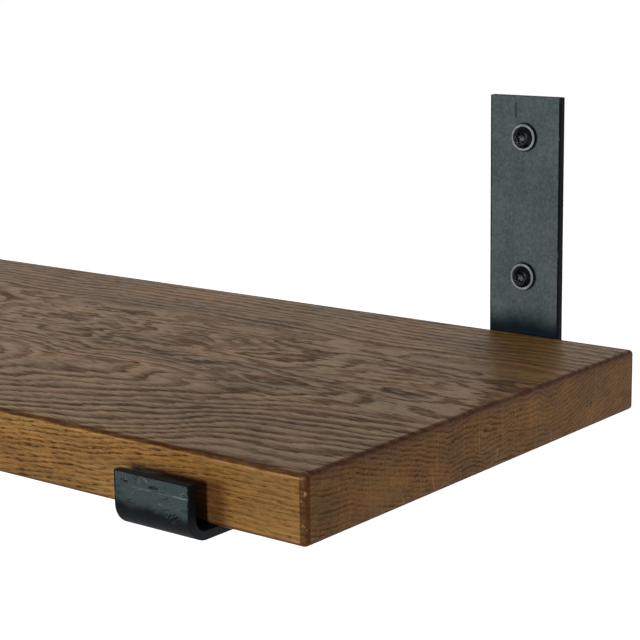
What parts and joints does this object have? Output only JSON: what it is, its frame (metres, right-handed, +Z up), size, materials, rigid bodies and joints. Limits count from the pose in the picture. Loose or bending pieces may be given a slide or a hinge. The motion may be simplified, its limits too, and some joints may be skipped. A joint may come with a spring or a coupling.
{
  "type": "bracket wall shelf",
  "caption": "Rectangular oak shelf board with rounded edges, carried on bent flat-bar brackets with an upturned front lip and a wall leg that stands up behind the board.",
  "frame": {"origin": "on the wall's face, at the centre of the four wall screws", "axes": "+X along the shelf to its right-hand end, +Y into the wall, +Z up; the board is in front of the wall, at -Y"},
  "size_m": [0.8, 0.3026, 0.1526],
  "materials": {
    "oak": "stained and satin lacquered",
    "bracket_coat": "fine dark grey powder coat",
    "black_screw": "blackened, semi-gloss",
    "washer_steel": "dull zinc grey"
  },
  "bodies": {
    "root": {"board": "oak", "bracket_right": "bracket_coat", "bracket_left": "bracket_coat", "wall_screw_right_top": "black_screw", "wall_screw_right_low": "black_screw", "wall_screw_left_top": "black_screw", "wall_screw_left_low": "black_screw", "wall_washer_right_top": "washer_steel", "wall_washer_right_low": "washer_steel", "wall_washer_left_top": "washer_steel", "wall_washer_left_low": "washer_steel", "shelf_screw_right_front": "black_screw", "shelf_screw_right_back": "black_screw", "shelf_screw_left_front": "black_screw", "shelf_screw_left_back": "black_screw"}
  },
  "joints": []
}
